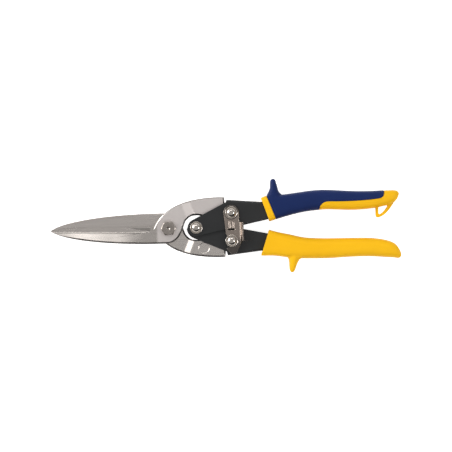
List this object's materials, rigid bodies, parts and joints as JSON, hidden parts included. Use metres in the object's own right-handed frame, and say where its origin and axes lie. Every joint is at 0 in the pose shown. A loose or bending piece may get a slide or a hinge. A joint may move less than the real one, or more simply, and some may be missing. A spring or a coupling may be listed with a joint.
{
  "type": "aviation snips",
  "caption": "Compound-action sheet metal snips with long straight blades, latch, return spring and moulded grips.",
  "frame": {"origin": "on the main pivot's axis, at the face of the rear bolt head, which is the surface the tool lies on", "axes": "+X along the tool from the pivot to the grips, +Y from the lower to the upper handle, +Z from the rear to the front"},
  "size_m": [0.2967, 0.0784, 0.0204],
  "materials": {
    "blade_steel": "satin forged and ground",
    "black_handle": "semi-gloss black coating",
    "nickel": "bright plated",
    "latch_steel": "bright plated sheet",
    "spring_steel": "oiled",
    "yellow_grip": "moulded",
    "blue_grip": "soft moulded"
  },
  "bodies": {
    "front_jaw": {"lower_blade": "blade_steel", "pivot_bolt": "nickel", "pivot_nut": "nickel"},
    "rear_jaw": {"upper_blade": "blade_steel"},
    "upper_handle_set": {"upper_handle": "black_handle", "upper_tang_screw": "nickel", "upper_tang_nut": "nickel", "upper_tang_spacer": "spring_steel", "latch_washer": "nickel", "handle_screw": "nickel", "handle_nut": "nickel", "spring_sleeve": "spring_steel", "return_spring": "spring_steel", "upper_grip_core": "yellow_grip", "upper_grip_cover": "blue_grip"},
    "lower_handle_set": {"lower_handle": "black_handle", "lower_tang_screw": "nickel", "lower_tang_nut": "nickel", "lower_tang_spacer": "spring_steel", "latch_catch": "nickel", "lower_grip": "yellow_grip"},
    "latch_plate": {"latch": "latch_steel"}
  },
  "joints": [
    {"name": "blade_pivot", "type": "hinge", "parent": "front_jaw", "child": "rear_jaw", "pos_m": [0, 0, 0.0092], "axis": [0, 0, -1], "range_deg": [0, 18], "deforming": ["return_spring"]},
    {"name": "upper_handle_pivot", "type": "hinge", "parent": "front_jaw", "child": "upper_handle_set", "pos_m": [0.0532, 0.0119, 0.0092], "axis": [0, 0, 1], "range_deg": [0, 8]},
    {"name": "lower_handle_pivot", "type": "hinge", "parent": "rear_jaw", "child": "lower_handle_set", "pos_m": [0.0532, -0.0119, 0.0092], "axis": [0, 0, -1], "range_deg": [0, 8]},
    {"name": "latch_swing", "type": "hinge", "parent": "upper_handle_set", "child": "latch_plate", "pos_m": [0.0532, 0.0119, 0.0092], "axis": [0, 0, 1], "range_deg": [0, 44]}
  ],
  "couplings": [
    {"joint": "upper_handle_pivot", "follows": "blade_pivot", "ratio": 0.433},
    {"joint": "lower_handle_pivot", "follows": "blade_pivot", "ratio": 0.433},
    {"joint": "latch_swing", "follows": "blade_pivot", "ratio": 2.426}
  ]
}
